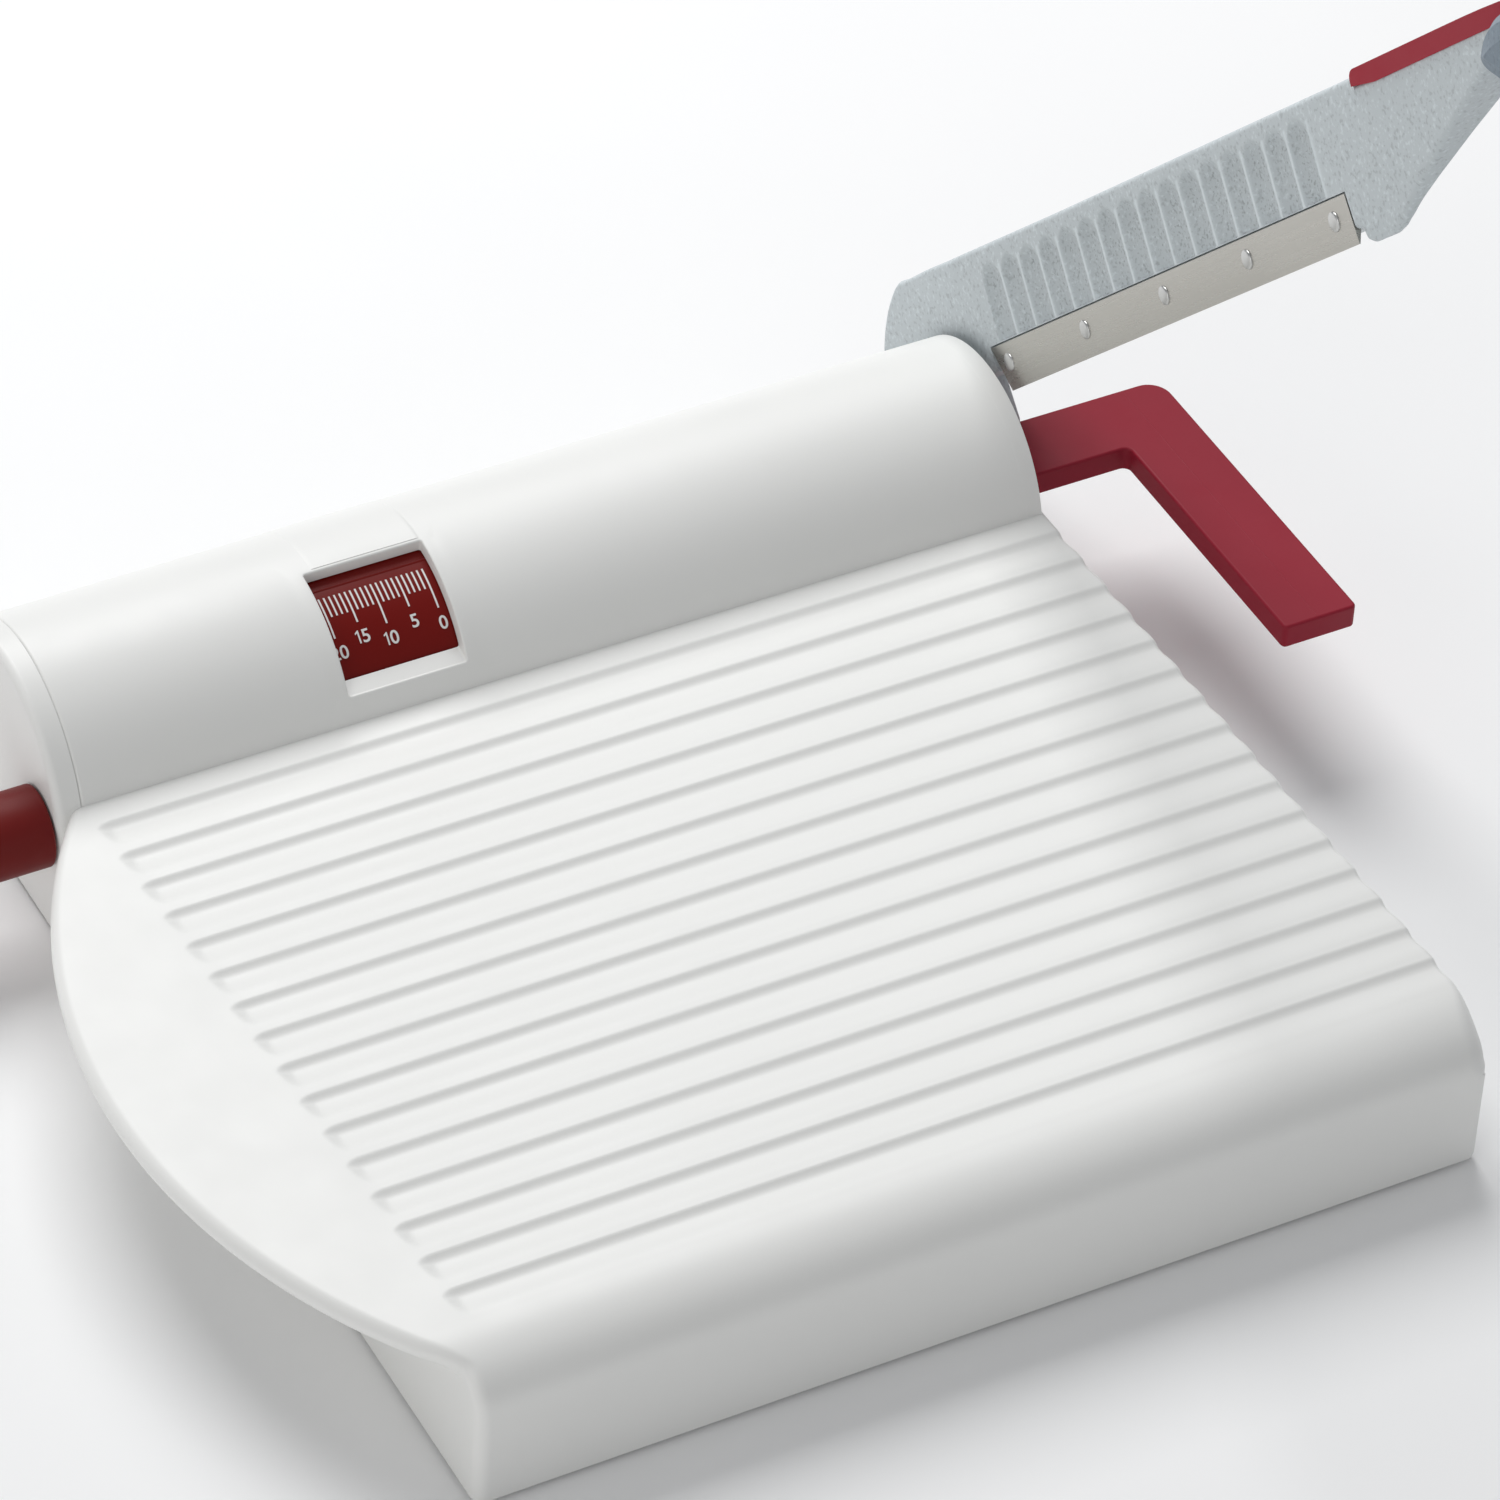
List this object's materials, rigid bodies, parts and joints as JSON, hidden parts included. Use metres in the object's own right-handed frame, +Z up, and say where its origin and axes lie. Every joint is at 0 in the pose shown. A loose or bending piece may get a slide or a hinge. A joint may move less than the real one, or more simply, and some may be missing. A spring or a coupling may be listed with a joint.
{
  "type": "lever slicer",
  "caption": "Worktop hand slicer: ribbed platform, half-round housing with a scale window, sliding L-shaped slice stop, and a hinged lever with a straight blade.",
  "frame": {"origin": "centre of the base's flat underside, midway between the housing's ends and between the front lip and the back", "axes": "+X along the housing from the adjusting knob to the lever, +Y from the front lip to the back, +Z up"},
  "size_m": [0.2554, 0.2655, 0.2739],
  "materials": {
    "white_plastic": "satin, fine moulded grain",
    "white_inner": "satin, unseen inner moulding",
    "red_plastic": "matte, slightly soft",
    "scale_red": "satin",
    "scale_print": "printed ink",
    "soft_grip": "matte soft-touch",
    "grey_plastic": "matte, speckled granular",
    "blade_steel": "satin ground",
    "fastener_steel": "satin",
    "acetal": "natural, low friction",
    "brass": "turned",
    "foot_rubber": "matte"
  },
  "bodies": {
    "base": {"base_body": "white_plastic", "side_rail": "white_plastic", "housing_shell": "white_plastic", "scale_bridge": "white_plastic", "left_end_cap": "white_plastic", "right_end_cap": "white_plastic", "bottom_cover": "white_inner", "cover_screws": "fastener_steel", "rubber_feet": "foot_rubber", "knob_bush": "acetal", "slide_guide_left": "acetal", "slide_guide_right": "acetal", "pivot_bolt": "fastener_steel", "pivot_nut": "fastener_steel", "pivot_spacer": "acetal", "wave_washer": "fastener_steel"},
    "slice_stop": {"stop_bar": "red_plastic", "scale_carriage": "scale_red", "carriage_screws": "fastener_steel", "scale_marks": "scale_print", "drive_nut": "brass"},
    "knob": {"adjusting_knob": "red_plastic", "lead_screw": "fastener_steel", "retaining_ring": "fastener_steel"},
    "lever": {"lever_arm": "grey_plastic", "blade": "blade_steel", "blade_rivets": "fastener_steel", "handle_body": "grey_plastic", "spine_grip": "soft_grip", "pivot_bush": "acetal"}
  },
  "joints": [
    {"name": "lever_pivot", "type": "hinge", "parent": "base", "child": "lever", "pos_m": [0.1006, 0.081, 0.024], "axis": [-1, 0, 0], "range_deg": [-48.2, 30]},
    {"name": "stop_slide", "type": "slide", "parent": "base", "child": "slice_stop", "axis": [1, 0, 0], "range_m": [-0.0095, 0.0105]},
    {"name": "knob_spin", "type": "hinge", "parent": "base", "child": "knob", "pos_m": [-0.1, 0.0578, 0.0213], "axis": [1, 0, 0], "range_deg": [-429, 474]}
  ],
  "couplings": [
    {"joint": "knob_spin", "follows": "stop_slide", "rad_per_m": 785.4}
  ]
}
